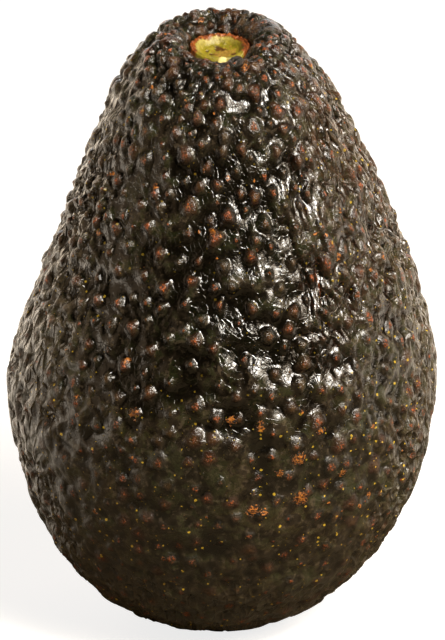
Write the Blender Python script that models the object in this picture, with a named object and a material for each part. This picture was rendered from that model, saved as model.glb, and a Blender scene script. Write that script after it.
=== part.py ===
"""A whole avocado, as picked, standing upright on the flat spot at its blossom end.

The fruit is one closed body: the pear-shaped flesh and skin, and the round hollow at the top of the
neck where the stem came away. It is turned from a half outline, given its natural sway and lean, and
cut flat where it rests. Metres, +Z up, front towards -Y, origin in the middle of the foot.
"""

import math

import bmesh
import bpy
from mathutils import Matrix, Vector
from mathutils.geometry import interpolate_bezier

MM = 0.001

# Driving dimensions of the body, before it sways and leans.
LENGTH = 99.8 * MM  # foot to the crest in front of the stem hollow
HALF_WIDTH = 35.15 * MM
DEPTH_SHARE = 0.985  # front to back, as a share of side to side
WIDEST_HEIGHT = 42.0 * MM
NECK_RADIUS = 18.4 * MM  # half width where the shoulder turns into the neck
NECK_HEIGHT = 89.0 * MM
NECK_SLOPE = math.radians(24.9)  # of the neck's side, from upright
FOOT_CUT = 1.4 * MM  # how much of the round end the flat spot takes off

# The stem hollow: a round crest of skin, a wall that falls inwards, and the dished scar.
CREST_RADIUS = 8.0 * MM
SCAR_RADIUS = 4.7 * MM
SCAR_DEPTH = 2.3 * MM  # crest down to the edge of the scar
SCAR_DISH = 0.4 * MM  # edge of the scar down to its middle
BACK_LIFT = 0.8 * MM  # how much higher the crest is behind the hollow
LIFT_START = -2.0 * MM  # front to back, where the lift begins
LIFT_REACH = 12.0 * MM  # how far down the neck the lift fades out

# How full each stretch of the outline is: lengths of the curve handles.
CREST_FULLNESS = 2.4 * MM
SHOULDER_FULLNESS = 5.8 * MM
NECK_FULLNESS = 13.0 * MM
BELLY_FULLNESS_ABOVE = 9.0 * MM
BELLY_FULLNESS_BELOW = 18.5 * MM
FOOT_FULLNESS = 26.0 * MM
HOLLOW_FULLNESS = 1.8 * MM

# Natural irregularity.
NECK_SWAY = 1.0 * MM  # the middle line's bow to the right, between belly and neck
FOOT_SWAY = 1.4 * MM  # the blossom end's offset to the left
LEAN_START = 58.0 * MM  # height where the neck starts to lean forwards
LEAN_ANGLE = math.radians(10.0)  # lean of the stem scar

SIDES = 56
OUTLINE_STEPS = {"dish": 3, "hollow": 5, "shoulder": 7, "neck": 10, "belly": 14}
WELD = 0.01 * MM

SKIN_COLOUR = (0.020, 0.019, 0.011, 1.0)
SKIN_ROUGHNESS = 0.42


def half_outline():
    """Points (radius, 0, height) from the scar's middle over the crest and down to the blossom end."""
    scar_edge_height = LENGTH - SCAR_DEPTH
    slope = Vector((math.sin(NECK_SLOPE), -math.cos(NECK_SLOPE)))
    inwards = Vector((-1.0, 0.0))
    outwards = Vector((1.0, 0.0))
    up = Vector((0.0, 1.0))

    scar_middle = Vector((0.0, scar_edge_height - SCAR_DISH))
    scar_edge = Vector((SCAR_RADIUS, scar_edge_height))
    crest = Vector((CREST_RADIUS, LENGTH))
    neck = Vector((NECK_RADIUS, NECK_HEIGHT))
    belly = Vector((HALF_WIDTH, WIDEST_HEIGHT))
    blossom_end = Vector((0.0, -FOOT_CUT))

    spans = (
        ("dish", scar_middle, outwards * SCAR_RADIUS / 2, inwards * SCAR_RADIUS / 3, scar_edge),
        ("hollow", scar_edge, up * HOLLOW_FULLNESS / 2, inwards * HOLLOW_FULLNESS, crest),
        ("shoulder", crest, outwards * CREST_FULLNESS, -slope * SHOULDER_FULLNESS, neck),
        ("neck", neck, slope * NECK_FULLNESS, up * BELLY_FULLNESS_ABOVE, belly),
        ("belly", belly, -up * BELLY_FULLNESS_BELOW, outwards * FOOT_FULLNESS, blossom_end),
    )
    points = []
    for name, start, start_handle, end_handle, end in spans:
        curve = interpolate_bezier(start, start + start_handle, end + end_handle, end, OUTLINE_STEPS[name] + 1)
        points.extend(curve if not points else curve[1:])
    return [Vector((max(point.x, 0.0), 0.0, point.y)) for point in points]


def ease(share):
    """0 at and below 0, 1 at and above 1, and an even blend between."""
    share = min(max(share, 0.0), 1.0)
    return share * share * (3 - 2 * share)


def sway(height):
    """Sideways offset of the middle line: right in the neck, left at the foot."""
    if height > WIDEST_HEIGHT:
        return NECK_SWAY * math.sin(2 * math.pi * (height - WIDEST_HEIGHT) / LENGTH)
    return -FOOT_SWAY * (1 - height / WIDEST_HEIGHT) ** 2


def back_lift(point):
    """How far the crest behind the hollow stands above the rest of the crest at a point."""
    top = ease((point.z - LENGTH + LIFT_REACH) / LIFT_REACH)
    back = ease((point.y - LIFT_START) / (CREST_RADIUS - LIFT_START))
    off_scar = (math.hypot(point.x, point.y) - SCAR_RADIUS) / (CREST_RADIUS - SCAR_RADIUS)
    return BACK_LIFT * top * back * min(max(off_scar, 0.0), 1.0)


def lean(point):
    """Bend the neck forwards on an arc, so that the stem scar faces a little to the front."""
    rise = point.z - LEAN_START
    if rise <= 0.0:
        return point
    span = LENGTH - LEAN_START
    radius = span / LEAN_ANGLE
    turn = rise / radius
    return Vector(
        (
            point.x,
            point.y * math.cos(turn) - radius * (1 - math.cos(turn)),
            LEAN_START + radius * math.sin(turn) + point.y * math.sin(turn),
        )
    )


def turned_body():
    """Spin the half outline round the upright axis and close it at both ends."""
    body = bmesh.new()
    rim = [body.verts.new(point) for point in half_outline()]
    edges = [body.edges.new(pair) for pair in zip(rim, rim[1:])]
    bmesh.ops.spin(
        body,
        geom=rim + edges,
        cent=(0, 0, 0),
        axis=(0, 0, 1),
        angle=2 * math.pi,
        steps=SIDES,
        use_merge=True,
    )
    bmesh.ops.remove_doubles(body, verts=body.verts, dist=WELD)
    return body


def shape_naturally(body):
    """Lift the crest at the back, flatten front to back a little, then sway and lean the whole body."""
    for vert in body.verts:
        x, y, z = vert.co
        vert.co = lean(Vector((x + sway(z), y * DEPTH_SHARE, z + back_lift(vert.co))))


def cut_foot(body):
    """Cut the round blossom end flat at the ground, which is the spot the fruit stands on."""
    everything = body.verts[:] + body.edges[:] + body.faces[:]
    cut = bmesh.ops.bisect_plane(
        body, geom=everything, dist=WELD, plane_co=(0, 0, 0), plane_no=(0, 0, -1), clear_outer=True
    )
    rim = [item for item in cut["geom_cut"] if isinstance(item, bmesh.types.BMEdge)]
    bmesh.ops.contextual_create(body, geom=rim)
    for vert in body.verts:
        if abs(vert.co.z) < WELD:
            vert.co.z = 0.0


def centre(body):
    """Put the origin under the middle of the fruit's outline seen from above."""
    low = [min(vert.co[axis] for vert in body.verts) for axis in (0, 1)]
    high = [max(vert.co[axis] for vert in body.verts) for axis in (0, 1)]
    shift = Vector((-(low[0] + high[0]) / 2, -(low[1] + high[1]) / 2, 0.0))
    bmesh.ops.transform(body, matrix=Matrix.Translation(shift), verts=body.verts)


def skin_material():
    """Dark, slightly glossy ripe skin."""
    material = bpy.data.materials.new("avocado_skin")
    material.use_nodes = True
    shader = material.node_tree.nodes["Principled BSDF"]
    shader.inputs["Base Color"].default_value = SKIN_COLOUR
    shader.inputs["Roughness"].default_value = SKIN_ROUGHNESS
    shader.inputs["Metallic"].default_value = 0.0
    return material


def avocado():
    """The whole fruit as one closed object."""
    body = turned_body()
    shape_naturally(body)
    cut_foot(body)
    centre(body)
    bmesh.ops.recalc_face_normals(body, faces=body.faces)
    mesh = bpy.data.meshes.new("avocado")
    body.to_mesh(mesh)
    body.free()
    mesh.shade_smooth()
    mesh.set_sharp_from_angle(angle=math.radians(40))
    mesh.materials.append(skin_material())
    fruit = bpy.data.objects.new("avocado", mesh)
    bpy.context.scene.collection.objects.link(fruit)
    return fruit


def main():
    for leftover in list(bpy.data.objects):
        bpy.data.objects.remove(leftover, do_unlink=True)
    avocado()


main()
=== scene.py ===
"""The looks of a whole ripe avocado, standing upright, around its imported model.

The rind is one closed skin with its nodules, net of ridges, lumps, wrinkles and cracks as geometry. A
second, finer piece is the bare stem scar in the hollow at the top of the neck. Lengths are in metres.
"""

import math

import bmesh
import bpy
import numpy as np
from mathutils import Matrix, Vector, noise
from mathutils.geometry import interpolate_bezier
from mathutils.kdtree import KDTree


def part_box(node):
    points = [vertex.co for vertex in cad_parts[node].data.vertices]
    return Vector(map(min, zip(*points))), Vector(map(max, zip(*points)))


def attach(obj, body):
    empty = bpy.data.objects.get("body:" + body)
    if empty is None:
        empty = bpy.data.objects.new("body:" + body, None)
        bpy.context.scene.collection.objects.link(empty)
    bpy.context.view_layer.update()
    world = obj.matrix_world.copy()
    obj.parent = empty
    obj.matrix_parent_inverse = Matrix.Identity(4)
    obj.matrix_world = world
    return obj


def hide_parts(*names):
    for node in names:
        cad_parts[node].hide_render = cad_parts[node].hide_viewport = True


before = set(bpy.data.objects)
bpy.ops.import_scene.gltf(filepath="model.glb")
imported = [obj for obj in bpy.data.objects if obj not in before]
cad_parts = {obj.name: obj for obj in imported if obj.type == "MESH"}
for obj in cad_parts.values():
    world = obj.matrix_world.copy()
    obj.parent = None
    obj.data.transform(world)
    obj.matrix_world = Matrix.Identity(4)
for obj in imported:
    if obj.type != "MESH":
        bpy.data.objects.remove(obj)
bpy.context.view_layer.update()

bl_info = {
    "name": "Pebbled Avocado",
    "version": (1, 0, 0),
    "blender": (4, 5, 0),
    "location": "View3D > Sidebar > Avocado",
    "description": "Models a ripe avocado's pebbled rind and bare stem scar around a packed model",
    "category": "Add Mesh",
}

LOW, HIGH = (Vector(corner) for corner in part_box("avocado"))
MM = 0.001
FULL_TURN = 2 * math.pi

# The body's form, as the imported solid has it. UNIT is a millimetre of that solid.
HALF_WIDTH = (HIGH.x - LOW.x) / 2
BELLY_RADIUS = 35.15  # in UNIT
UNIT = HALF_WIDTH / BELLY_RADIUS
LENGTH = 99.8 * UNIT
DEPTH_SHARE = 0.985
WIDEST_HEIGHT = 42.0 * UNIT
NECK = Vector((18.4, 89.0)) * UNIT
NECK_SLOPE = math.radians(24.9)
FOOT_CUT = 1.4 * UNIT
CREST_RADIUS = 8.0 * UNIT
SCAR_RADIUS = 4.7 * UNIT
SCAR_DEPTH = 2.3 * UNIT
SCAR_DISH = 0.4 * UNIT
BACK_LIFT = 0.8 * UNIT
LIFT_START = -2.0 * UNIT
LIFT_REACH = 12.0 * UNIT
NECK_SWAY = 1.0 * UNIT
FOOT_SWAY = 1.4 * UNIT
LEAN_START = 58.0 * UNIT
LEAN_ANGLE = math.radians(10.0)
LEAN_BEND = (LENGTH - LEAN_START) / LEAN_ANGLE  # radius of the leaning neck's arc

# How full each stretch of the outline is: lengths of the curve handles, in UNIT.
HOLLOW_FULLNESS = 1.8
CREST_FULLNESS = 2.4
SHOULDER_FULLNESS = 5.8
NECK_FULLNESS = 13.0
BELLY_FULLNESS_ABOVE = 9.0
BELLY_FULLNESS_BELOW = 18.5
FOOT_FULLNESS = 26.0
OUTLINE_POINTS = {"dish": 40, "hollow": 60, "shoulder": 120, "neck": 300, "belly": 400}

GROWTH_RADIUS = 15.0 * UNIT  # where patterns that run down from the stem have their true width

# Sockets of the Mix node that share their names: its numbers, its colours and its mixed colour.
NUMBER_A, NUMBER_B = 2, 3
COLOUR_A, COLOUR_B = 6, 7
MIXED_COLOUR = 2


# ---------------------------------------------------------------- helpers


def smooth(low, high, value):
    """0 below low, 1 above high, and an even blend between."""
    share = np.clip((value - low) / (high - low), 0.0, 1.0)
    return share * share * (3 - 2 * share)


def grain(points, size, seed=0.0):
    """Noise from about -0.7 to 0.7 at each point, with features of the given size."""
    return np.array([noise.noise(Vector(place)) for place in points / size + seed])


def linear(hex_colour):
    """Linear RGBA from an sRGB hex string."""
    channels = [int(hex_colour[i : i + 2], 16) / 255 for i in (1, 3, 5)]
    return [c / 12.92 if c <= 0.04045 else ((c + 0.055) / 1.055) ** 2.4 for c in channels] + [1.0]


def point_tree(points):
    """A search tree of the points, in their own order."""
    tree = KDTree(len(points))
    for index, point in enumerate(points):
        tree.insert(point, index)
    tree.balance()
    return tree


def finish_piece(source, name, material, values):
    """Turn a bmesh into the scene's object, with its values for the material, and tell the frame."""
    mesh = bpy.data.meshes.new(name)
    source.to_mesh(mesh)
    source.free()
    mesh.shade_smooth()
    mesh.materials.append(material)
    for value_name, numbers in values.items():
        kind, field = ("FLOAT", "value") if numbers.ndim == 1 else ("FLOAT_VECTOR", "vector")
        layer = mesh.attributes.new(value_name, kind, "POINT")
        layer.data.foreach_set(field, np.ascontiguousarray(numbers, dtype=np.float32).ravel())
    piece = bpy.data.objects.new(name, mesh)
    bpy.context.scene.collection.objects.link(piece)
    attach(piece, "root")
    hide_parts("avocado")
    return piece


def add(tree, kind, inputs=None, output=0, stops=(), **settings):
    """Add a node with its settings, ramp stops and input values or links, and give one output."""
    made = tree.nodes.new(kind)
    for name, value in settings.items():
        setattr(made, name, value)
    for index, (position, colour) in enumerate(stops):
        elements = made.color_ramp.elements
        stop = elements[index] if index < len(elements) else elements.new(position)
        stop.position = position
        stop.color = colour
    for key, value in (inputs or {}).items():
        if isinstance(value, bpy.types.NodeSocket):
            tree.links.new(value, made.inputs[key])
        else:
            made.inputs[key].default_value = value
    return made.outputs[output]


# ---------------------------------------------------------------- the body's form


def half_outline():
    """Outline (radius, height) from the middle of the stem scar over the crest to the blossom end."""
    slope = Vector((math.sin(NECK_SLOPE), -math.cos(NECK_SLOPE)))
    inwards, outwards, up = Vector((-1, 0)), Vector((1, 0)), Vector((0, 1))
    scar_edge = Vector((SCAR_RADIUS, LENGTH - SCAR_DEPTH))
    scar_middle = Vector((0, scar_edge.y - SCAR_DISH))
    crest = Vector((CREST_RADIUS, LENGTH))
    belly = Vector((BELLY_RADIUS * UNIT, WIDEST_HEIGHT))
    blossom_end = Vector((0, -FOOT_CUT))
    hollow_up, hollow_in = up * HOLLOW_FULLNESS / 2 * UNIT, inwards * HOLLOW_FULLNESS * UNIT
    crest_out, shoulder_up = outwards * CREST_FULLNESS * UNIT, slope * -SHOULDER_FULLNESS * UNIT
    neck_down, belly_up = slope * NECK_FULLNESS * UNIT, up * BELLY_FULLNESS_ABOVE * UNIT
    belly_down, foot_out = up * -BELLY_FULLNESS_BELOW * UNIT, outwards * FOOT_FULLNESS * UNIT
    spans = (
        ("dish", scar_middle, outwards * SCAR_RADIUS / 2, inwards * SCAR_RADIUS / 3, scar_edge),
        ("hollow", scar_edge, hollow_up, hollow_in, crest),
        ("shoulder", crest, crest_out, shoulder_up, NECK),
        ("neck", NECK, neck_down, belly_up, belly),
        ("belly", belly, belly_down, foot_out, blossom_end),
    )
    points = []
    for name, start, leave, arrive, end in spans:
        curve = interpolate_bezier(start, start + leave, end + arrive, end, OUTLINE_POINTS[name])
        points.extend(curve if not points else curve[1:])
    return np.array([(max(point.x, 0.0), max(point.y, 0.0)) for point in points])


OUTLINE = half_outline()
STEPS = np.hypot(*np.diff(OUTLINE, axis=0).T)
RUN = np.concatenate(([0.0], np.cumsum(STEPS)))  # length along the outline from the scar's middle
TO_CREST = OUTLINE_POINTS["dish"] + OUTLINE_POINTS["hollow"]
CREST_RUN = float(np.interp(CREST_RADIUS, OUTLINE[:TO_CREST, 0], RUN[:TO_CREST]))


def stand(x, y, z):
    """Sway, lift and lean points of the turned body into the fruit's standing form."""
    back = smooth(LIFT_START, CREST_RADIUS, y / DEPTH_SHARE)
    off_scar = np.clip((np.hypot(x, y) - SCAR_RADIUS) / (CREST_RADIUS - SCAR_RADIUS), 0.0, 1.0)
    lift = BACK_LIFT * smooth(LENGTH - LIFT_REACH, LENGTH, z) * back * off_scar
    above = NECK_SWAY * np.sin(FULL_TURN * (z - WIDEST_HEIGHT) / LENGTH)
    below = -FOOT_SWAY * (1 - z / WIDEST_HEIGHT) ** 2
    x = x + np.where(z > WIDEST_HEIGHT, above, below)
    z = z + lift
    turn = np.maximum(z - LEAN_START, 0.0) / LEAN_BEND
    leaning_y = y * np.cos(turn) - LEAN_BEND * (1 - np.cos(turn))
    leaning_z = LEAN_START + LEAN_BEND * np.sin(turn) + y * np.sin(turn)
    leaning = z > LEAN_START
    return np.stack((x, np.where(leaning, leaning_y, y), np.where(leaning, leaning_z, z)), axis=-1)


def body_surface(run, azimuth):
    """Points on the smooth standing body at a length along the outline and an azimuth."""
    radius = np.interp(run, RUN, OUTLINE[:, 0])
    height = np.interp(run, RUN, OUTLINE[:, 1])
    return stand(radius * np.cos(azimuth), radius * np.sin(azimuth) * DEPTH_SHARE, height)


def centre_shift():
    """Sideways step that puts the body's outline in the middle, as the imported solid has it."""
    azimuths = np.linspace(0, FULL_TURN, 361)
    rings = body_surface(np.repeat(RUN[::20], len(azimuths)), np.tile(azimuths, len(RUN[::20])))
    middle = (rings.min(axis=0) + rings.max(axis=0)) / 2
    return np.array((-middle[0], -middle[1], 0.0))


SHIFT = centre_shift()


# ---------------------------------------------------------------- the rind's relief


class Ground:
    """The smooth body's points with what the relief needs to know about each.

    The growth coordinates unroll the skin down from the stem. Most other values are shares from 0 to 1,
    and the lengths that bound them are shares of the fruit's height or width.
    """

    def __init__(self, run, azimuth, points, normals):
        self.points = points
        self.normals = normals
        self.tree = point_tree(points)
        self.around = np.stack((-np.sin(azimuth), np.cos(azimuth), np.zeros_like(azimuth)), axis=-1)
        self.down = np.cross(self.around, normals)
        self.growth = np.stack(
            (GROWTH_RADIUS * np.cos(azimuth), GROWTH_RADIUS * np.sin(azimuth), run), axis=-1
        )
        self.rise = points[:, 2] / HIGH.z
        right = points[:, 0] / HALF_WIDTH
        patchy = grain(points, 16 * MM, 5.5)
        self.neck = smooth(0.55, 0.9, self.rise)

        # Near the stem: on the crest round the hollow, in the crown of small nodules that spreads from
        # it, outside the hollow, under the scar, and where the crest is lower in front.
        self.crest = np.exp(-(((run - CREST_RUN) / (3.5 * UNIT)) ** 2))
        self.crown = smooth(CREST_RUN + 9 * UNIT, CREST_RUN, run)
        self.off_scar = smooth(SCAR_RADIUS * 1.1, CREST_RUN, run)
        self.scar = smooth(SCAR_RADIUS, SCAR_RADIUS * 0.94, run)
        in_front = np.exp(-(((azimuth + math.pi / 2) / math.radians(58)) ** 4))
        self.low_crest = in_front * smooth(CREST_RUN + 4.5 * UNIT, CREST_RUN, run)

        # The flanks and the foot, where the skin is flatter, and the folded right shoulder.
        below_crest = smooth(CREST_RUN + 2 * UNIT, CREST_RUN + 16 * UNIT, run)
        self.side = below_crest * smooth(0.4, 1.0, np.abs(np.cos(azimuth)) + 0.3 * patchy)
        self.side = np.maximum(self.side, 0.8 * smooth(0.3, 0.08, self.rise + 0.08 * patchy))
        self.shoulder = smooth(0.42, 0.75, self.rise) * smooth(0.2, 0.62, right + 0.35 * patchy)

        # How tall nodules stand, and how strong the net between them is.
        pebbled = smooth(0.26 + 0.2 * self.side, 0.58 + 0.14 * self.side, self.rise)
        pebbled = 0.10 + 0.12 * smooth(0.05, 0.2, self.rise) + 0.78 * pebbled
        self.beaded = pebbled * (1 + 0.3 * patchy - 0.25 * self.shoulder) * (1 - 0.35 * self.side)
        self.netted = (0.15 + 0.85 * self.side) * (1 - 0.5 * smooth(0.6, 0.9, self.rise))


def scatter(tree, points, gaps, rng, taken=()):
    """Pick points at random that keep their gap from each other and from those already taken."""
    blocked = np.zeros(len(points), dtype=bool)
    chosen = []
    widest = gaps.max()
    for index in [*taken, *rng.permutation(len(points))]:
        if blocked[index]:
            continue
        chosen.append(index)
        near = np.array([found[1] for found in tree.find_range(points[index], widest)])
        away = np.linalg.norm(points[near] - points[index], axis=1)
        blocked[near[away < (gaps[index] + gaps[near]) / 2]] = True
    return np.array(chosen)


# Nodules: radii in mm with the share of each, how many sit on the crest, and how sharply they meet.
BEAD_RADII = (0.55, 0.75, 0.95, 1.2)
BEAD_SHARES = (0.15, 0.3, 0.33, 0.22)
KNUCKLE_COUNT = 24
MEETING = 3.0


def knuckles(ground, rng):
    """Points and radii in mm of the ring of nodules on the crest round the stem hollow.

    The largest are behind the hollow, on the right.
    """
    picked = {}
    for order in range(KNUCKLE_COUNT):
        azimuth = FULL_TURN * (order + rng.uniform(-0.3, 0.3)) / KNUCKLE_COUNT
        run = CREST_RUN + rng.uniform(-0.2, 1.3) * MM
        place = body_surface(np.array([run]), np.array([azimuth]))[0] + SHIFT
        behind_right = math.exp(-(((azimuth - math.radians(50)) / math.radians(35)) ** 2))
        picked[ground.tree.find(place)[1]] = rng.uniform(0.8, 1.1) * (1 + 0.4 * behind_right)
    return picked


def raise_beads(ground, rng):
    """Height of the nodules, how near a middle and a corky tip each point is, their hue and middles."""
    gaps = (3.7 - 0.9 * ground.neck - 1.1 * ground.crown) * MM * rng.uniform(0.6, 1.3, len(ground.points))
    ring = knuckles(ground, rng)
    chosen = scatter(ground.tree, ground.points, gaps, rng, list(ring))
    total, dome, tip, hue = np.zeros((4, len(ground.points)))
    for index in chosen:
        neck, shoulder = ground.neck[index], ground.shoulder[index]
        common = rng.choice(BEAD_RADII, p=BEAD_SHARES)
        radius = ring.get(index, common) * MM * rng.uniform(0.88, 1.12)
        height = radius * rng.uniform(0.85, 1.2) * (0.68 if index in ring else ground.beaded[index])
        height = height * (0.75 + 0.25 * ground.off_scar[index]) * (1 - 0.3 * ground.low_crest[index])
        stretch = 1.0 + rng.uniform(0.0, 0.3) + 0.1 * neck + shoulder * rng.uniform(0, 1.0)
        spread = 1.25 - 0.25 * smooth(0.3, 0.6, ground.rise[index])
        tilt = rng.normal(0.0, 0.5) * (1 - 0.6 * neck)
        corky = rng.uniform(0.4, 1.0) * ground.off_scar[index] if rng.random() < 0.85 else 0.0
        shade = rng.random()
        near = ground.tree.find_range(ground.points[index], radius * stretch * spread * 1.8)
        picked = np.array([found[1] for found in near])
        away = ground.points[picked] - ground.points[index]
        side = away @ ground.around[index]
        fall = away @ ground.down[index]
        along = fall * math.cos(tilt) - side * math.sin(tilt)
        across = fall * math.sin(tilt) + side * math.cos(tilt)
        bearing = np.arctan2(across, along)
        uneven = 1 + 0.12 * np.sin(3 * bearing + index) + 0.08 * np.sin(5 * bearing + 2 * index)
        reach = np.hypot(along / (radius * stretch * spread), across / (radius * spread)) / uneven
        total[picked] += (height * np.clip(1 - reach**2, 0, None) ** 0.85) ** MEETING
        nearest = np.clip(1.15 - reach, 0, 1)
        hue[picked] = np.where(nearest > dome[picked], shade, hue[picked])
        dome[picked] = np.maximum(dome[picked], nearest)
        tip[picked] = np.maximum(tip[picked], corky * smooth(0.75, 0.1, reach))
    return total ** (1 / MEETING), dome, tip, hue, chosen


def join_net(ground, beads, rng):
    """The net of thin ridges that links the nodules, 1 on a ridge, and its cells, 1 in their middles.

    The cells are taller than wide, and their outlines are bent by a slow noise.
    """
    tall = np.array((1.0, 1.0, 1 / 1.6))
    warp = np.stack([grain(ground.points, 3.2 * MM, seed) for seed in (11.0, 23.0, 37.0)], axis=-1)
    places = (ground.points + warp * 2.0 * MM) * tall
    gaps = (2.4 - 0.2 * ground.neck) * MM * rng.uniform(0.6, 1.4, len(places))
    open_ground = np.array([beads.find(point)[2] > 1.2 * MM for point in ground.points])
    free = np.flatnonzero(open_ground)
    cells = scatter(point_tree(places[free]), places[free], gaps[free], rng)
    middles = point_tree(places[free[cells]])
    ends = np.array([[found[2] for found in middles.find_n(place, 2)] for place in places])
    to_edge = (ends[:, 1] - ends[:, 0]) / 2
    width = (0.36 + 0.2 * grain(ground.points, 6 * MM, 3.0)) * MM
    bowl = smooth(0.0, 1.2 * MM, to_edge)
    return np.exp(-((to_edge / width) ** 2)), bowl


def wrinkle(ground):
    """Folds that run down from the stem, soft lumps and cracks, in metres, and where the cracks are."""
    drawn_out = ground.growth * np.array((1, 1, 1 / 6))  # six times longer than wide
    folds = 1 - 2.2 * np.abs(grain(drawn_out, 1.3 * MM, 3.1))
    broad_folds = grain(drawn_out, 3.4 * MM, 8.3)
    long_lines = grain(ground.growth * np.array((1, 1, 1 / 7)), 2.4 * MM, 6.6)
    cracks = np.exp(-((long_lines / 0.08) ** 2)) * smooth(0.05, 0.3, grain(ground.points, 7 * MM, 2.0))
    swells = grain(ground.points, 9.0 * MM, 7.7)
    lumps = grain(ground.points, 3.6 * MM, 2.7)
    dimples = grain(ground.points, 1.8 * MM, 1.3)
    upper = (1 - 0.2 * ground.side) * (1 + 0.15 * smooth(0.6, 0.3, ground.rise))
    folded = (0.02 + 0.13 * ground.neck + 0.2 * ground.shoulder) * folds
    folded = folded + (0.06 + 0.10 * ground.neck + 0.1 * ground.shoulder) * broad_folds
    folded = folded + 0.35 * (1 - ground.off_scar) * grain(drawn_out, 2.6 * MM, 1.9)
    cracks = ground.shoulder * cracks
    height = folded + 0.55 * swells + upper * (0.6 * lumps + 0.12 * dimples) - 0.8 * cracks
    return height * MM, cracks


# Ragged patches of rust-coloured cork on the front: degrees right of the middle, height and radius in mm.
SCABS = (
    (20, 40, 1.1),
    (15, 38, 0.7),
    (8, 32, 1.0),
    (11, 31.5, 0.6),
    (21, 33, 1.2),
    (-16, 22, 0.5),
    (26, 44, 0.8),
    (2, 47, 0.7),
    (-24, 47, 0.9),
    (33, 36, 0.8),
)
SMALL_SCAB_COUNT = 170
SCAB_REACH = 1.6  # how far a patch's ragged edge can lie, as a share of its radius


def scabby(ground, rng):
    """How near the middle of a ragged cork patch each point is."""
    middles = []
    for right, height, radius in SCABS:
        level = np.interp(height * UNIT, OUTLINE[::-1, 1], RUN[::-1])
        azimuth = math.radians(right - 90)
        middles.append((body_surface(np.array([level]), np.array([azimuth]))[0] + SHIFT, radius * MM))
    for index in rng.integers(0, len(ground.points), SMALL_SCAB_COUNT):
        middles.append((ground.points[index], rng.uniform(0.15, 0.6) * MM))
    scab = np.zeros(len(ground.points))
    for middle, radius in middles:
        for _, index, away in ground.tree.find_range(middle, radius * SCAB_REACH):
            scab[index] = max(scab[index], 1 - away / (radius * SCAB_REACH))
    return scab


def rind_relief(ground, seed):
    """Relief of the whole rind in metres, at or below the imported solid's surface, and its values."""
    rng = np.random.default_rng(seed)
    beads, dome, tip, hue, chosen = raise_beads(ground, rng)
    ridge, bowl = join_net(ground, point_tree(ground.points[chosen]), rng)
    scab = scabby(ground, rng)
    faded = 0.75 + 0.6 * grain(ground.points, 5 * MM, 4.1)
    net = 0.34 * faded * ridge - 0.42 * bowl  # in mm: its lines stand up and its cells dip
    net = net * ground.netted * ground.off_scar * MM
    folds, crack = wrinkle(ground)
    total = beads + net + folds + 0.12 * MM * scab

    # The whole relief sinks by the room in mm that its nodules need, and more under the scar and on the
    # crest in front of it. What still stands too tall is eased down to the solid's surface.
    room = (0.35 + 0.75 * np.clip(ground.beaded, 0, 1)) * (0.4 + 0.6 * ground.off_scar)
    room = room * (1 - 0.3 * ground.crest)
    sunk = total - (room + 1.6 * ground.scar + 1.3 * ground.low_crest) * MM
    ease = 0.12 * MM
    relief = np.where(sunk < -ease, sunk, -ease * np.exp(-(sunk + ease) / ease))
    values = {"dome": dome, "tip": tip, "hue": hue, "ridge": ridge * np.clip(faded, 0, 1)}
    # The material paints shade where 'depth' is large, deep between the nodules.
    values |= {"depth": room - total / MM, "scab": scab, "crack": crack}
    return relief, values


# ---------------------------------------------------------------- the rind


def bake_places(mesh, run, azimuth):
    """Lay the rind out flat: a front and a back half of the belt, and a round patch for each end."""
    crown_patch, foot_patch = 25.0 * UNIT, 29.0 * UNIT
    top, bottom = crown_patch, RUN[-1] - foot_patch
    belt_width, belt_height = 104.0 * UNIT, bottom - top
    margin = 1.5 * UNIT
    side = 2 * belt_height + 3 * margin
    corners = np.zeros(len(mesh.loops), dtype=np.int32)
    mesh.loops.foreach_get("vertex_index", corners)
    corners = corners.reshape(-1, 3)
    runs, turns = run[corners], azimuth[corners]
    turns = turns - FULL_TURN * np.round((turns - turns[:, :1]) / FULL_TURN)
    middle_run, middle_turn = runs.mean(axis=1), turns.mean(axis=1)
    wrap = np.floor((middle_turn + math.pi) / FULL_TURN) * FULL_TURN
    turns, middle_turn = turns - wrap[:, None], middle_turn - wrap
    back = (middle_turn > 0)[:, None]
    across = np.where(back, turns, turns + math.pi) / math.pi * belt_width + margin
    up = runs - top + margin + np.where(back, belt_height + margin, 0.0)
    patch_x = belt_width + 2 * margin + foot_patch
    patches = (
        (middle_run < top, 0.0, margin + top),
        (middle_run > bottom, RUN[-1], 2 * margin + 2 * top + RUN[-1] - bottom),
    )
    for inside, pole, patch_y in patches:
        reach = np.abs(runs - pole)
        across = np.where(inside[:, None], patch_x + reach * np.cos(turns), across)
        up = np.where(inside[:, None], patch_y + reach * np.sin(turns), up)
    places = np.stack((across, up), axis=-1).reshape(-1, 2) / side
    layer = mesh.uv_layers.new(name="OFBake")
    layer.data.foreach_set("uv", places.astype(np.float32).ravel())


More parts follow.
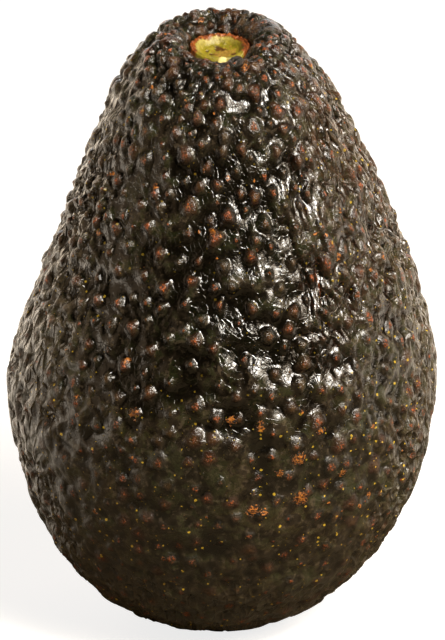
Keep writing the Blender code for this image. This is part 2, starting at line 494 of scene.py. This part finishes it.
def make_rind(settings):
    """One closed skin: an even ball of triangles, laid over the body and given its relief."""
    skin = bmesh.new()
    bmesh.ops.create_icosphere(skin, subdivisions=6, radius=1.0)
    bmesh.ops.subdivide_edges(skin, edges=skin.edges[:], cuts=2, use_grid_fill=True)
    ball = np.array([vert.co.normalized() for vert in skin.verts])
    azimuth = np.arctan2(ball[:, 1], ball[:, 0])
    level = OUTLINE[1:, 1] / LENGTH

    # The triangles are shared out along the outline, finest at the crown and coarsest at the foot.
    fineness = 0.62 + 0.5 * smooth(0.08, 0.45, level) + 0.8 * smooth(0.84, 0.97, level)
    weights = fineness * (OUTLINE[1:, 0] + OUTLINE[:-1, 0]) * STEPS
    share = np.concatenate(([0.0], np.cumsum(weights))) / weights.sum()
    run = np.interp((1 - ball[:, 2]) / 2, share, RUN)
    points = body_surface(run, azimuth) + SHIFT
    for vert, point in zip(skin.verts, points):
        vert.co = point
    skin.normal_update()
    ground = Ground(run, azimuth, points, np.array([vert.normal for vert in skin.verts]))
    relief, values = rind_relief(ground, settings.seed)
    shaped = points + ground.normals * (relief * settings.relief)[:, None]
    shaped[:, 2] = np.maximum(shaped[:, 2], 0.0)
    for vert, point in zip(skin.verts, shaped):
        vert.co = point
    # The material paints shade where 'hollow' is large, round the stem scar.
    values |= {"growth": ground.growth, "side": ground.side, "hollow": 1 - ground.off_scar}
    values |= {"pebbled": ground.beaded, "shoulder": ground.shoulder}
    piece = finish_piece(skin, "avocado_rind", rind_material(settings), values)
    bake_places(piece.data, run, azimuth)
    return piece


def rind_material(settings):
    """Ripe avocado rind: a grown, leathery, waxy skin with cork at its nodules' tips.

    It gives the eye near-black olive and brown, sharp broken glints from the wax, duller rust-coloured
    cork, and golden pinpoint pores. Some shade and light is painted into its colour: darker crevices,
    crack beds, nodule sides and stem hollow, lighter nodule tops, and lighter net lines on the flanks.
    The real cork's grit and the finest creases are about 0.1 mm and too fine to show, so they are drawn
    as coarse as 0.3 mm and 0.5 mm.
    """
    material = bpy.data.materials.new("waxy_avocado_rind")
    material.use_nodes = True
    tree = material.node_tree
    shader = tree.nodes["Principled BSDF"]
    place = add(tree, "ShaderNodeTexCoord", output="Object")
    growth = add(tree, "ShaderNodeAttribute", output="Vector", attribute_name="growth")
    down = add(tree, "ShaderNodeVectorMath", {0: growth, 1: (1, 1, 0.28)}, operation="MULTIPLY")
    names = "dome tip hue ridge depth scab crack side hollow pebbled shoulder".split()
    value = {name: add(tree, "ShaderNodeAttribute", output="Fac", attribute_name=name) for name in names}

    # Noise of each size: where it is read, its feature size in mm, detail, roughness and distortion.
    noise_inputs = ("Vector", "Scale", "Detail", "Roughness", "Distortion")
    cloud = {
        name: add(tree, "ShaderNodeTexNoise", dict(zip(noise_inputs, (at, 1 / (size * MM), *shape))))
        for name, (at, size, *shape) in {
            "patches": (place, 12, 3, 0.5, 0.0),
            "mottle": (place, 2.2, 4, 0.6, 0.3),
            "speckle": (place, 0.5, 3, 0.7, 0.0),
            "hairs": (down, 0.55, 2, 0.55, 0.5),
            "leather": (place, 0.9, 3, 0.6, 0.2),
            "grit": (place, 0.3, 2, 0.6, 0.0),
        }.items()
    }

    # Fine lines round cells that are longer than wide: a raised net, and creases between its lines.
    # Each has its cells' width in mm, that width as a share of their length, and half a line's width
    # as a share of the cells'. A slow noise bends them.
    bend_inputs = {"Vector": place, "Scale": 1 / (4.0 * MM), "Detail": 2.0}
    bend = add(tree, "ShaderNodeTexNoise", bend_inputs, output="Color")
    line = {}
    cells = {"net": (0.85, 0.24, 0.16), "creases": (0.5, 0.45, 0.08)}
    for name, (size, narrowness, share) in cells.items():
        lie = add(tree, "ShaderNodeVectorMath", {0: growth, 1: (1, 1, narrowness)}, operation="MULTIPLY")
        slack = size * MM * 0.8
        bent = add(
            tree,
            "ShaderNodeVectorMath",
            {0: bend, 1: (slack, slack, slack), 2: lie},
            operation="MULTIPLY_ADD",
        )
        cell = add(
            tree,
            "ShaderNodeTexVoronoi",
            {"Vector": bent, "Scale": 1 / (size * MM)},
            feature="DISTANCE_TO_EDGE",
        )
        line[name] = add(
            tree,
            "ShaderNodeMapRange",
            {"Value": cell, "From Min": 0.0, "From Max": share, "To Min": 1.0, "To Max": 0.0},
        )

    # Pores: a ragged dot in each 1 mm cell, most too small to show and the largest about 0.5 mm across.
    pore_cells = {"Vector": place, "Scale": 1 / (1.0 * MM)}
    pore_cell = add(tree, "ShaderNodeTexVoronoi", pore_cells, output="Color")
    pore_away = add(tree, "ShaderNodeTexVoronoi", pore_cells)
    pore_luck = add(tree, "ShaderNodeSeparateColor", {0: pore_cell})
    pore_size = add(tree, "ShaderNodeMath", {0: pore_luck, 1: 4.0}, operation="POWER")
    pore_reach = add(tree, "ShaderNodeMath", {0: pore_size, 1: 0.2, 2: -0.045}, operation="MULTIPLY_ADD")
    pore_ragged = {0: cloud["grit"], 1: 0.2, 2: pore_reach}
    pore_reach = add(tree, "ShaderNodeMath", pore_ragged, operation="MULTIPLY_ADD")
    pore_inside = add(tree, "ShaderNodeMath", {0: pore_reach, 1: pore_away}, operation="SUBTRACT")

    # Masks: what is measured, where the mask begins and where it is full.
    mask = {
        name: add(
            tree,
            "ShaderNodeMapRange",
            {"Value": source, "From Min": low, "From Max": high},
            interpolation_type="SMOOTHSTEP",
        )
        for name, (source, low, high) in {
            "brown": (cloud["patches"], 0.43, 0.57),
            "green": (cloud["mottle"], 0.44, 0.60),
            "dark": (cloud["mottle"], 0.55, 0.46),
            "freckle": (cloud["speckle"], 0.50, 0.62),
            "fleck": (cloud["leather"], 0.54, 0.66),
            "bead": (value["dome"], 0.05, 0.55),
            "russet": (value["hue"], 0.45, 0.75),
            "cork": (value["tip"], 0.20, 0.70),
            "ragged": (cloud["speckle"], 0.42, 0.54),
            "rust": (cloud["grit"], 0.40, 0.62),
            "deep": (value["depth"], 0.6, 1.15),
            "pore": (pore_inside, -0.02, 0.03),
            "summit_tone_and_light": (value["dome"], 0.5, 1.05),
            "wavering": (cloud["mottle"], 0.30, 0.60),
            "flank": (value["side"], 0.45, 1.0),
            "torn_edge": (value["crack"], 0.5, 0.85),
            "torn_bed": (value["crack"], 0.82, 0.98),
        }.items()
    }

    # What shows only where two of them meet. Pores and dull nodules keep to the less pebbled skin.
    open_skin_share = {0: value["pebbled"], 1: -0.9, 2: 1.0}
    open_skin = add(tree, "ShaderNodeMath", open_skin_share, operation="MULTIPLY_ADD")
    corky, pored, dull, webbed, russet, netted, creased, gritty = (
        add(tree, "ShaderNodeMath", {0: first, 1: second}, operation="MULTIPLY")
        for first, second in (
            (mask["cork"], mask["ragged"]),
            (mask["pore"], open_skin),
            (mask["bead"], open_skin),
            (line["creases"], value["shoulder"]),
            (mask["russet"], mask["bead"]),
            (line["net"], mask["flank"]),
            (line["creases"], mask["wavering"]),
            (cloud["grit"], mask["bead"]),
        )
    )
    torn_scab = {0: cloud["speckle"], 1: -2.0, 2: value["scab"]}
    torn = add(tree, "ShaderNodeMath", torn_scab, operation="MULTIPLY_ADD")
    scabbed = add(
        tree,
        "ShaderNodeMapRange",
        {"Value": torn, "From Min": -0.62, "From Max": -0.45},
        interpolation_type="SMOOTHSTEP",
    )
    cork_colour, scab_colour = (
        add(
            tree,
            "ShaderNodeMix",
            {0: mask["rust"], COLOUR_A: linear(settings.cork_dark), COLOUR_B: linear(bright)},
            output=MIXED_COLOUR,
            data_type="RGBA",
        )
        for bright in (settings.cork, settings.scab)
    )

    # Colours laid over the olive skin, one after the other: where, how strongly and which.
    skin = linear(settings.olive)
    covers = (
        (mask["brown"], 0.7, linear(settings.brown)),
        (value["pebbled"], 0.85, linear(settings.dark_skin_and_shade)),
        # Painted shade: the hollow round the stem scar is darkened with the brownish black.
        (value["hollow"], 0.7, linear(settings.dark_skin_and_shade)),
        (mask["green"], 0.55, linear(settings.green)),
        (mask["dark"], 0.85, linear(settings.dark_tone_and_shade)),
        (mask["freckle"], 0.55, linear(settings.dark_tone_and_shade)),
        (mask["fleck"], 0.2, linear(settings.ridge)),
        # Partly painted shade: the nodules are darkened to olive black, their own dark tone and the shade
        # on their sides.
        (mask["bead"], 0.6, linear(settings.nodule_tone_and_shade)),
        (russet, 0.45, linear(settings.russet)),
        # Partly painted light: the nodules' tops are made golden brown as if lit, over their own tone.
        (mask["summit_tone_and_light"], 0.45, linear(settings.summit_tone_and_light)),
        (value["ridge"], 0.10, linear(settings.ridge)),
        # Painted shade: the deepest skin between the nodules is darkened where shade falls.
        (mask["deep"], 0.9, linear(settings.dark_tone_and_shade)),
        # Partly painted light: the dry net is made lighter only on the flanks, where its crests catch the
        # rim lights.
        (netted, 0.22, linear(settings.net)),
        (webbed, 0.5, linear(settings.russet)),
        (mask["torn_edge"], 0.4, cork_colour),
        # Painted shade: the beds of the cracks are darkened.
        (mask["torn_bed"], 0.9, linear(settings.dark_tone_and_shade)),
        (corky, 0.9, cork_colour),
        (scabbed, 0.95, scab_colour),
        (pored, 0.9, linear(settings.pore)),
    )
    for cover, amount, colour in covers:
        strength = add(tree, "ShaderNodeMath", {0: cover, 1: amount}, operation="MULTIPLY")
        layers = {0: strength, COLOUR_A: skin, COLOUR_B: colour}
        skin = add(tree, "ShaderNodeMix", layers, output=MIXED_COLOUR, data_type="RGBA")
    tree.links.new(skin, shader.inputs["Base Color"])

    # Gloss: the wax is uneven, the pebbled skin is polished, and cork is duller. A minus is glossier.
    gloss = 0.33
    for source, amount in (
        (cloud["mottle"], 0.12),
        (mask["bead"], -0.03),
        (value["pebbled"], -0.2),
        (value["shoulder"], -0.02),
        (mask["flank"], -0.10),
        (mask["deep"], -0.08),
        (dull, 0.2),
        (corky, 0.22),
        (scabbed, 0.25),
    ):
        gloss = add(tree, "ShaderNodeMath", {0: source, 1: amount, 2: gloss}, operation="MULTIPLY_ADD")
    tree.links.new(gloss, shader.inputs["Roughness"])
    shader.inputs["IOR"].default_value = 1.55  # plant wax is near 1.5, and a little more matches the glints

    # Fine relief, in millimetres.
    hairy_inputs = {0: value["pebbled"], 1: 0.035, 2: 0.035}
    hairy = add(tree, "ShaderNodeMath", hairy_inputs, operation="MULTIPLY_ADD")
    leathery_inputs = {0: value["side"], 1: -0.03, 2: 0.06}
    leathery = add(tree, "ShaderNodeMath", leathery_inputs, operation="MULTIPLY_ADD")
    height = 0.0
    for source, amount in (
        (cloud["leather"], leathery),
        (cloud["speckle"], 0.035),
        (cloud["hairs"], hairy),
        (netted, 0.25),
        (creased, -0.03),
        (gritty, 0.18),
        (corky, 0.10),
        (scabbed, 0.16),
    ):
        height = add(tree, "ShaderNodeMath", {0: source, 1: amount, 2: height}, operation="MULTIPLY_ADD")
    bump = add(tree, "ShaderNodeBump", {"Strength": 1.0, "Distance": MM, "Height": height})
    tree.links.new(bump, shader.inputs["Normal"])
    return material


# ---------------------------------------------------------------- the stem scar


def scar_frame():
    """Carries what is modelled round the scar's own middle to its place in the leaning neck."""
    turn = (LENGTH - SCAR_DEPTH - LEAN_START) / LEAN_BEND
    middle = stand(np.array([0.0]), np.array([0.0]), np.array([LENGTH - SCAR_DEPTH]))[0] + SHIFT
    return Matrix.Translation(Vector(middle)) @ Matrix.Rotation(turn, 4, "X")


# Brown corky spots in the scar: right, back and size, in shares of the scar's radius.
SCAR_SPOTS = (
    (-0.05, 0.38, 0.16),
    (-0.27, -0.05, 0.11),
    (0.48, -0.14, 0.13),
    (-0.42, 0.16, 0.06),
    (0.22, 0.30, 0.07),
    (0.02, -0.28, 0.05),
    (-0.55, -0.30, 0.05),
)


def scar_relief(x, y):
    """Height in mm of the scar at each place, and what its material needs to know there.

    Places are measured in shares of the scar's radius, right and back from its middle.
    """
    flat = np.stack((x, y, np.zeros_like(x)), axis=-1)
    reach = np.hypot(x, y) / SCAR_RADIUS
    bearing = np.arctan2(y, x)
    right, back = x / SCAR_RADIUS, y / SCAR_RADIUS
    front = smooth(-0.30, -0.80, back)
    spun = np.stack((np.cos(bearing), np.sin(bearing), 0.3 * reach), axis=-1) * 3.0 * MM
    fibre = 0.7 * grain(spun, 0.22 * MM, 1.7) + 0.5 * grain(flat, 0.3 * MM, 6.2)
    coarse = grain(flat, 1.3 * MM, 9.1)
    fine = grain(flat, 0.45 * MM, 4.4)

    # The torn rim and the groove in its right, the brown spots, the tan core, painted light on the wall
    # behind and left of the bed where it faces the key light, and a paler chip of flesh in front that is
    # partly a painted highlight.
    rim_from = 0.77 + 0.3 * front + 0.08 * coarse
    rim = smooth(rim_from - 0.02, rim_from + 0.06, reach)
    groove = np.exp(-(((reach - 0.90) / 0.03) ** 2)) * np.exp(-(((bearing - 0.5) / 0.45) ** 2))
    spot = np.zeros_like(x)
    for spot_right, spot_back, size in SCAR_SPOTS:
        away = np.hypot(right - spot_right, back - spot_back) / size
        spot = np.maximum(spot, smooth(1.3, 0.5, away + 0.9 * fine))
    spot = np.maximum(spot, groove)
    inside = np.hypot(right - 0.18, (back + 0.05) / 1.1)
    tan = smooth(0.46, 0.22, inside + 0.3 * fine + 0.15 * coarse)
    lit_upper_left = smooth(-0.2, 0.5, 0.75 * back - 0.6 * right)
    # Painted light on the wall inside the rim, behind and to the left, where it faces the key light.
    painted_light_wall = smooth(rim_from - 0.16, rim_from - 0.04, reach + 0.08 * fine) * (1 - rim) * lit_upper_left
    # A paler chip of flesh in front, partly a painted highlight.
    pale_chip_and_highlight = smooth(0.04, -0.02, np.abs(right - 0.1) - 0.45 * (-back - 0.70)) * smooth(-0.68, -0.74, back)

    # The dished bed, the wall that rises to the rim, and the edge that drops away into the rind.
    bed = -1.2 + 0.5 * np.minimum(reach / 0.75, 1.0) ** 2
    wall = (1.05 - 0.35 * front) * smooth(0.58, 0.88, reach)
    height = bed + wall - 0.6 * smooth(0.96, 1.02, reach)
    height = height + rim * (0.22 * fibre + 0.2 * fine) - 0.35 * groove + 0.08 * pale_chip_and_highlight
    height = height + (1 - rim) * (0.14 * coarse + 0.08 * fine - 0.12 * spot + 0.08 * tan)
    return height, {"rim": rim, "fibre": fibre, "spot": spot, "tan": tan, "painted_light_wall": painted_light_wall, "pale_chip_and_highlight": pale_chip_and_highlight}


def make_scar(settings):
    """The bare scar: a dished bed of flesh inside a torn, fibrous ring that is widest behind."""
    scar = bmesh.new()
    rings, sides = 60, 200
    edge, underside = 1.02, -2.2  # as a share of the scar's radius, and in UNIT
    profile = [(edge * step / rings, 0.0) for step in range(rings + 1)]
    profile += [(edge, underside), (0.0, underside)]
    verts = [scar.verts.new((radius * SCAR_RADIUS, 0.0, height * UNIT)) for radius, height in profile]
    edges = [scar.edges.new(pair) for pair in zip(verts, verts[1:])]
    bmesh.ops.spin(
        scar,
        geom=verts + edges,
        cent=(0, 0, 0),
        axis=(0, 0, 1),
        angle=FULL_TURN,
        steps=sides,
        use_merge=True,
    )
    bmesh.ops.remove_doubles(scar, verts=scar.verts, dist=1e-6)
    bmesh.ops.recalc_face_normals(scar, faces=scar.faces)
    points = np.array([vert.co for vert in scar.verts])
    height, values = scar_relief(points[:, 0], points[:, 1])
    on_face = points[:, 2] > underside * UNIT / 2
    points[:, 2] += np.where(on_face, height * MM, 0.0)
    carry = scar_frame()
    for vert, point in zip(scar.verts, points):
        vert.co = carry @ Vector(point)
    return finish_piece(scar, "stem_scar", scar_material(settings), values)


def scar_material(settings):
    """Stem scar: drying flesh and torn vessels.

    It gives the eye moist yellow-green with a rusty, fibrous rim and brown cork spots, and paler flesh that
    is partly painted light: on the wall behind and left of the bed, and as a highlight on a chip in front.
    """
    material = bpy.data.materials.new("drying_stem_scar")
    material.use_nodes = True
    tree = material.node_tree
    shader = tree.nodes["Principled BSDF"]
    place = add(tree, "ShaderNodeTexCoord", output="Object")
    value = {
        name: add(tree, "ShaderNodeAttribute", output="Fac", attribute_name=name)
        for name in ("rim", "fibre", "spot", "tan", "painted_light_wall", "pale_chip_and_highlight")
    }
    mottle = add(tree, "ShaderNodeTexNoise", {"Vector": place, "Scale": 1 / (1.1 * MM), "Detail": 4.0})
    crumbs = add(tree, "ShaderNodeTexNoise", {"Vector": place, "Scale": 1 / (0.3 * MM), "Detail": 2.0})
    shares = {
        name: add(tree, "ShaderNodeMapRange", {"Value": source, "From Min": low, "From Max": high})
        for name, (source, low, high) in {
            "ripe": (mottle, 0.40, 0.62),
            "crumbly": (crumbs, 0.52, 0.66),
            "split": (value["fibre"], -0.45, 0.45),
        }.items()
    }
    rim_colour = add(
        tree,
        "ShaderNodeMix",
        {0: shares["split"], COLOUR_A: linear(settings.rim_dark), COLOUR_B: linear(settings.rim)},
        output=MIXED_COLOUR,
        data_type="RGBA",
    )

    # Colours laid over the yellow flesh, one after the other: where, how strongly and which.
    colour = linear(settings.flesh)
    covers = (
        (shares["ripe"], 0.7, linear(settings.flesh_green)),
        # Painted light: the wall behind and left of the bed, which faces the key light, is painted paler.
        (value["painted_light_wall"], 0.25, linear(settings.pale_flesh_and_light)),
        (value["tan"], 0.5, linear(settings.core)),
        (shares["crumbly"], 0.35, linear(settings.spot)),
        (value["rim"], 1.0, rim_colour),
        (value["spot"], 0.9, linear(settings.spot)),
        # Partly a painted highlight: the paler chip of flesh in front of the bed.
        (value["pale_chip_and_highlight"], 0.95, linear(settings.pale_flesh_and_light)),
    )
    for cover, amount, shade in covers:
        strength = add(tree, "ShaderNodeMath", {0: cover, 1: amount}, operation="MULTIPLY")
        layers = {0: strength, COLOUR_A: colour, COLOUR_B: shade}
        colour = add(tree, "ShaderNodeMix", layers, output=MIXED_COLOUR, data_type="RGBA")
    tree.links.new(colour, shader.inputs["Base Color"])
    shader.inputs["Roughness"].default_value = 0.42  # half-dried flesh, still a little moist
    bump = add(tree, "ShaderNodeBump", {"Strength": 1.0, "Distance": 0.12 * MM, "Height": crumbs})
    tree.links.new(bump, shader.inputs["Normal"])
    return material


# ---------------------------------------------------------------- the studio


def make_studio(settings):
    """Pale floor, soft lights, bright surroundings behind, and a camera that looks down a little."""
    floor_reach = 6.0
    aim = Vector((0.0001, 0.0, 0.051))
    camera_distance = 0.433
    scene = bpy.context.scene
    scene.view_settings.view_transform = "Standard"

    sheet = bmesh.new()
    bmesh.ops.create_grid(sheet, x_segments=1, y_segments=1, size=floor_reach)
    mesh = bpy.data.meshes.new("studio_floor")
    sheet.to_mesh(mesh)
    sheet.free()
    mesh.materials.append(floor_material())
    floor = bpy.data.objects.new("studio_floor", mesh)
    scene.collection.objects.link(floor)

    # Each light's bearing in degrees, distance, width and height, power and colour.
    lamp(aim, "key_core", (38, 46), 0.55, (0.08, 0.12), settings.key_power * 0.8, "#ffffff")
    lamp(aim, "key_glow", (42, 45), 0.56, (0.24, 0.3), settings.key_power * 1.15, "#fff4e4")
    lamp(aim, "key_panel", (54, 43), 0.57, (0.46, 0.46), settings.key_power * 0.7, "#ffe6c4")
    lamp(aim, "left_rim", (-140, 10), 0.6, (0.2, 0.5), settings.rim_power * 0.45, "#ffe8cc")
    lamp(aim, "left_fill", (-92, 0), 0.75, (1.2, 1.0), settings.rim_power * 0.8, "#ffdcb4")
    lamp(aim, "right_rim", (142, 10), 0.6, (0.2, 0.5), settings.rim_power * 0.35, "#ffe8cc")

    # Surroundings that light the fruit from straight behind only, and look evenly white.
    world = bpy.data.worlds.new("white_studio")
    scene.world = world
    world.use_nodes = True
    tree = world.node_tree
    direction = add(tree, "ShaderNodeTexCoord", output="Generated")
    depth = add(tree, "ShaderNodeSeparateXYZ", {0: direction}, "Y")
    glow = add(
        tree,
        "ShaderNodeMapRange",
        {"Value": depth, "From Min": 0.8, "From Max": 0.98, "To Min": 0.004, "To Max": 2.6},
    )
    seen = add(tree, "ShaderNodeLightPath", output="Is Camera Ray")
    strength = add(tree, "ShaderNodeMix", {0: seen, NUMBER_A: glow, NUMBER_B: 1.0}, data_type="FLOAT")
    tree.links.new(strength, tree.nodes["Background"].inputs["Strength"])
    tree.nodes["Background"].inputs["Color"].default_value = (1, 1, 1, 1)

    camera = bpy.data.objects.new("camera", bpy.data.cameras.new("camera"))
    scene.collection.objects.link(camera)
    camera.data.lens = settings.lens
    camera.data.sensor_width = 36.0
    down = settings.camera_angle
    camera.location = aim + camera_distance * Vector((0, -math.cos(down), math.sin(down)))
    camera.rotation_euler = (math.pi / 2 - down, 0, 0)
    scene.camera = camera


def floor_material():
    """White paper sweep: nearly even white to the eye, with a soft shadow.

    The light that it throws back on the fruit is warmer, dim in front and bright behind.
    """
    material = bpy.data.materials.new("white_paper_sweep")
    material.use_nodes = True
    tree = material.node_tree
    shader = tree.nodes["Principled BSDF"]
    shader.inputs["Roughness"].default_value = 0.9
    shader.inputs["Specular IOR Level"].default_value = 0.0
    place = add(tree, "ShaderNodeTexCoord", output="Object")
    depth = add(tree, "ShaderNodeSeparateXYZ", {0: place}, "Y")
    across = add(tree, "ShaderNodeSeparateXYZ", {0: place}, "X")
    shifted = add(tree, "ShaderNodeMath", {0: across, 1: 0.025}, operation="SUBTRACT")
    aside = add(tree, "ShaderNodeMath", {0: shifted}, operation="ABSOLUTE")
    away = add(tree, "ShaderNodeMath", {0: aside, 1: 0.5, 2: depth}, operation="MULTIPLY_ADD")
    behind = add(
        tree,
        "ShaderNodeMapRange",
        {"Value": away, "From Min": 0.03, "From Max": 0.13, "To Max": 2.1},
    )
    seen = add(tree, "ShaderNodeLightPath", output="Is Camera Ray")

    # Each socket's two numbers or colours: what falls on the fruit, and what the eye sees.
    for name, kind, hidden, shown in (
        ("Base Color", "RGBA", linear("#6a5f4c"), linear("#b4b2ae")),
        ("Emission Color", "RGBA", linear("#fff0dc"), linear("#ffffff")),
        ("Emission Strength", "FLOAT", behind, 0.8),
    ):
        first, mixed = (COLOUR_A, MIXED_COLOUR) if kind == "RGBA" else (NUMBER_A, 0)
        both = {0: seen, first: hidden, first + 1: shown}
        blend = add(tree, "ShaderNodeMix", both, output=mixed, data_type=kind)
        tree.links.new(blend, shader.inputs[name])
    return material


def lamp(aim, name, bearing, distance, size, power, colour):
    """An area light that faces the fruit.

    Its bearing is azimuth, 0 in front and positive to the right, and elevation, in degrees.
    """
    light = bpy.data.lights.new(name, "AREA")
    light.shape = "RECTANGLE"
    light.size, light.size_y = size
    light.energy = power
    light.color = linear(colour)[:3]
    azimuth, elevation = (math.radians(angle) for angle in bearing)
    away = Vector(
        (
            math.sin(azimuth) * math.cos(elevation),
            -math.cos(azimuth) * math.cos(elevation),
            math.sin(elevation),
        )
    )
    panel = bpy.data.objects.new(name, light)
    panel.location = aim + away * distance
    panel.rotation_euler = away.to_track_quat("Z", "Y").to_euler()
    panel.visible_camera = False
    bpy.context.scene.collection.objects.link(panel)


# ---------------------------------------------------------------- settings, operators and panel


def tint(name, description, default):
    """A colour setting kept as an sRGB hex string."""
    return bpy.props.StringProperty(name=name, description=description, default=default)


class AVOCADO_PG_rind(bpy.types.PropertyGroup):
    """What a user may change about the rind."""

    seed: bpy.props.IntProperty(name="Seed", description="Picks where the nodules grow", default=7)
    relief: bpy.props.FloatProperty(
        name="Relief",
        description="Height of the pebbling, 1 for a natural fruit",
        default=1.0,
        subtype="FACTOR",
    )
    olive: tint("Olive", "Dark olive of most of the skin", "#38321e")
    brown: tint("Brown", "Browner patches", "#442e1a")
    green: tint("Green", "Greener mottling", "#212b13")
    # Also the painted shade in the hollow round the stem scar.
    dark_skin_and_shade: tint("Night", "Brownish black of the pebbled upper skin", "#19120a")
    # Also painted shade on the nodules' sides.
    nodule_tone_and_shade: tint("Nodule", "Olive black of the nodules' sides", "#0f0e06")
    russet: tint("Russet", "Reddish brown of some nodules", "#42200e")
    # Also painted light on the nodules' tops.
    summit_tone_and_light: tint("Summit", "Golden brown of the nodules' tops", "#5a3c14")
    ridge: tint("Ridge", "Dry crests between the nodules", "#80705a")
    # Also painted light where the net's crests catch the rim lights on the flanks.
    net: tint("Net", "Fine dry net over the flanks", "#7c6c54")
    # Also painted shade between the nodules and in the beds of the cracks; elsewhere the skin's own dark
    # mottling.
    dark_tone_and_shade: tint("Crevice", "Deepest skin between the nodules", "#080603")
    cork: tint("Cork", "Rust-coloured cork on the nodules' tips", "#ac5418")
    cork_dark: tint("Dark cork", "Older, darker cork", "#2c0e06")
    scab: tint("Scab", "Ragged orange-brown cork patches", "#bd7428")
    pore: tint("Pore", "Golden pinpoint pores", "#dcb838")


class AVOCADO_PG_scar(bpy.types.PropertyGroup):
    """What a user may change about the stem scar."""

    flesh: tint("Flesh", "Yellow flesh of the scar", "#8f8220")
    flesh_green: tint("Green flesh", "Greener flesh in patches", "#6e6810")
    # Also painted light on the scar's wall behind and left of the bed, and a painted highlight on the front
    # chip.
    pale_flesh_and_light: tint("Pale flesh", "Cream of the freshest flesh", "#e6d488")
    core: tint("Core", "Tan core where the stem's vessels ended", "#a87740")
    spot: tint("Spot", "Brown cork spots", "#3e1d05")
    rim: tint("Rim", "Torn rusty rim", "#9c5420")
    rim_dark: tint("Dark rim", "Gaps between the rim's fibres", "#4e1f06")


class AVOCADO_PG_studio(bpy.types.PropertyGroup):
    """What a user may change about the lights and the camera."""

    key_power: bpy.props.FloatProperty(
        name="Key",
        description="Power of the key lights",
        default=2.6,
        unit="POWER",
    )
    rim_power: bpy.props.FloatProperty(
        name="Rim",
        description="Power of the rim and fill lights",
        default=2.5,
        unit="POWER",
    )
    lens: bpy.props.FloatProperty(
        name="Lens",
        description="Focal length in millimetres",
        default=150.0,
        unit="CAMERA",
    )
    camera_angle: bpy.props.FloatProperty(
        name="Camera angle",
        description="How far the camera looks down",
        default=math.radians(20),
        subtype="ANGLE",
    )


class AVOCADO_OT_rind(bpy.types.Operator):
    """Model the pebbled rind"""

    bl_idname = "avocado.rind"
    bl_label = "Avocado Rind"

    def execute(self, context):
        make_rind(context.scene.avocado_rind)
        return {"FINISHED"}


class AVOCADO_OT_scar(bpy.types.Operator):
    """Model the bare stem scar"""

    bl_idname = "avocado.scar"
    bl_label = "Stem Scar"

    def execute(self, context):
        make_scar(context.scene.avocado_scar)
        return {"FINISHED"}


class AVOCADO_OT_studio(bpy.types.Operator):
    """Set up the floor, lights and camera"""

    bl_idname = "avocado.studio"
    bl_label = "Studio"

    def execute(self, context):
        make_studio(context.scene.avocado_studio)
        return {"FINISHED"}


class AVOCADO_PT_panel(bpy.types.Panel):
    """Buttons for each piece"""

    bl_label = "Avocado"
    bl_idname = "AVOCADO_PT_panel"
    bl_space_type = "VIEW_3D"
    bl_region_type = "UI"
    bl_category = "Avocado"

    def draw(self, context):
        for operator in (AVOCADO_OT_studio, AVOCADO_OT_rind, AVOCADO_OT_scar):
            self.layout.operator(operator.bl_idname)


CLASSES = (
    AVOCADO_PG_rind,
    AVOCADO_PG_scar,
    AVOCADO_PG_studio,
    AVOCADO_OT_rind,
    AVOCADO_OT_scar,
    AVOCADO_OT_studio,
    AVOCADO_PT_panel,
)


def register():
    for made in CLASSES:
        bpy.utils.register_class(made)
    bpy.types.Scene.avocado_rind = bpy.props.PointerProperty(type=AVOCADO_PG_rind)
    bpy.types.Scene.avocado_scar = bpy.props.PointerProperty(type=AVOCADO_PG_scar)
    bpy.types.Scene.avocado_studio = bpy.props.PointerProperty(type=AVOCADO_PG_studio)


def unregister():
    del bpy.types.Scene.avocado_rind
    del bpy.types.Scene.avocado_scar
    del bpy.types.Scene.avocado_studio
    for made in reversed(CLASSES):
        bpy.utils.unregister_class(made)


def main():
    register()
    bpy.ops.avocado.studio()
    bpy.ops.avocado.rind()
    bpy.ops.avocado.scar()


if __name__ == "__main__":
    main()
